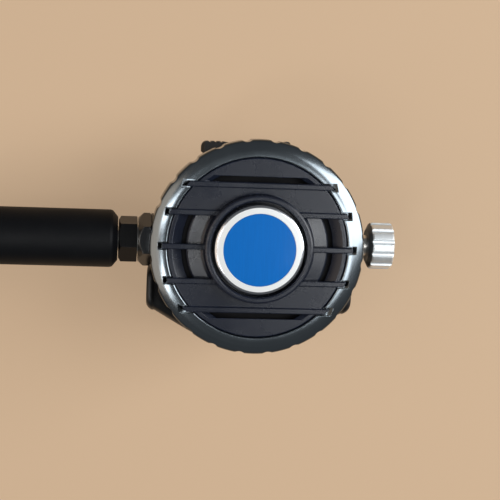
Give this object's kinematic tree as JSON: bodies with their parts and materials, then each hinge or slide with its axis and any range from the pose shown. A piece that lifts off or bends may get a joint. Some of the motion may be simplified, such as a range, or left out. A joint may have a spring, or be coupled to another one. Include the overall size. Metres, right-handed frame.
{
  "type": "scuba regulator second stage with low-pressure hose",
  "caption": "Scuba demand regulator: round case with scalloped ring, ribbed purge cover, round purge button, side adjustment knob, exhaust tee, mouthpiece, hose.",
  "frame": {"origin": "middle of the mouthpiece's bite plane, on the axis of the ring, at the level the part lies on", "axes": "+Z out of the purge cover, +X along the valve barrel towards the adjustment knob, +Y to the top of the case as worn"},
  "size_m": [0.3834, 0.1699, 0.0768],
  "materials": {
    "ring_metal": "satin gunmetal, fine turned grain",
    "cover_plastic": "fine moulded texture",
    "button_plastic": "silvered, polished bevel",
    "disc_blue": "glossy domed inlay",
    "case_plastic": "fine moulded texture",
    "washer_plastic": "smooth acetal",
    "silicone": "smoky translucent silicone",
    "spring_steel": "bright stainless",
    "plated_brass": "satin plated brass",
    "chrome": "bright plated brass",
    "knob_metal": "bright turned metal",
    "black_nut": "black coated",
    "black_rubber": "smooth",
    "tee_rubber": "soft matt",
    "mouthpiece_silicone": "soft satin silicone",
    "tie_plastic": "nylon",
    "protector_rubber": "soft matt",
    "hose_rubber": "fine wrapped texture"
  },
  "bodies": {
    "regulator": {"front_ring": "ring_metal", "purge_cover": "cover_plastic", "purge_spring": "spring_steel", "clamp_washer": "washer_plastic", "diaphragm": "silicone", "case": "case_plastic", "valve_barrel": "plated_brass", "barrel_nut": "chrome", "barrel_washer": "black_rubber", "orifice": "plated_brass", "orifice_o_ring": "black_rubber", "poppet_spring": "spring_steel", "adjuster_collar": "chrome", "exhaust_valve": "silicone", "exhaust_tee": "tee_rubber", "mouthpiece": "mouthpiece_silicone", "mouthpiece_tie": "tie_plastic", "swivel_nut": "black_nut", "hose_nipple": "plated_brass", "hose_o_ring": "black_rubber", "near_protector": "protector_rubber", "hose_free": "hose_rubber", "hose_coil": "hose_rubber", "far_protector": "protector_rubber", "far_nipple": "plated_brass", "first_stage_fitting": "chrome", "fitting_o_ring": "black_rubber"},
    "button": {"purge_button": "button_plastic", "button_disc": "disc_blue"},
    "plate": {"diaphragm_plate": "spring_steel"},
    "lever": {"demand_lever": "spring_steel"},
    "valve_poppet": {"poppet": "washer_plastic", "poppet_seat": "black_rubber", "poppet_collar": "plated_brass"},
    "screw_slide": {"spring_pad": "washer_plastic"},
    "adjuster": {"adjusting_screw": "plated_brass", "adjuster_o_ring": "black_rubber", "adjustment_knob": "knob_metal", "knob_screw": "spring_steel"},
    "venturi": {"venturi_lever": "case_plastic", "venturi_pin": "spring_steel", "venturi_vane": "case_plastic", "venturi_o_ring": "black_rubber"}
  },
  "joints": [
    {"name": "purge_press", "type": "slide", "parent": "regulator", "child": "button", "axis": [0, 0, -1], "range_m": [0, 0.0025], "stiffness_N_per_m": 400, "springref_m": -0.004, "deforming": ["purge_spring"]},
    {"name": "diaphragm_travel", "type": "slide", "parent": "regulator", "child": "plate", "axis": [0, 0, -1], "range_m": [0, 0.0025], "deforming": ["diaphragm"]},
    {"name": "lever_swing", "type": "hinge", "parent": "regulator", "child": "lever", "pos_m": [0.0092, 0, 0.0592], "axis": [0, -1, 0], "range_deg": [0, 10.1]},
    {"name": "poppet_slide", "type": "slide", "parent": "regulator", "child": "valve_poppet", "axis": [1, 0, 0], "range_m": [0, 0.0011], "deforming": ["poppet_spring"]},
    {"name": "adjuster_advance", "type": "slide", "parent": "regulator", "child": "screw_slide", "axis": [1, 0, 0], "range_m": [-0.002, 0]},
    {"name": "adjuster_turn", "type": "hinge", "parent": "screw_slide", "child": "adjuster", "pos_m": [0.045, 0, 0.052], "axis": [1, 0, 0], "range_deg": [-720, 0]},
    {"name": "venturi_turn", "type": "hinge", "parent": "regulator", "child": "venturi", "pos_m": [0, 0.033, 0.0395], "axis": [0, 1, 0], "range_deg": [-22.5, 22.5]}
  ],
  "couplings": [
    {"joint": "diaphragm_travel", "follows": "purge_press", "ratio": 1},
    {"joint": "lever_swing", "follows": "purge_press", "rad_per_m": 70},
    {"joint": "poppet_slide", "follows": "purge_press", "ratio": 0.43},
    {"joint": "adjuster_turn", "follows": "adjuster_advance", "rad_per_m": 6283.2}
  ]
}
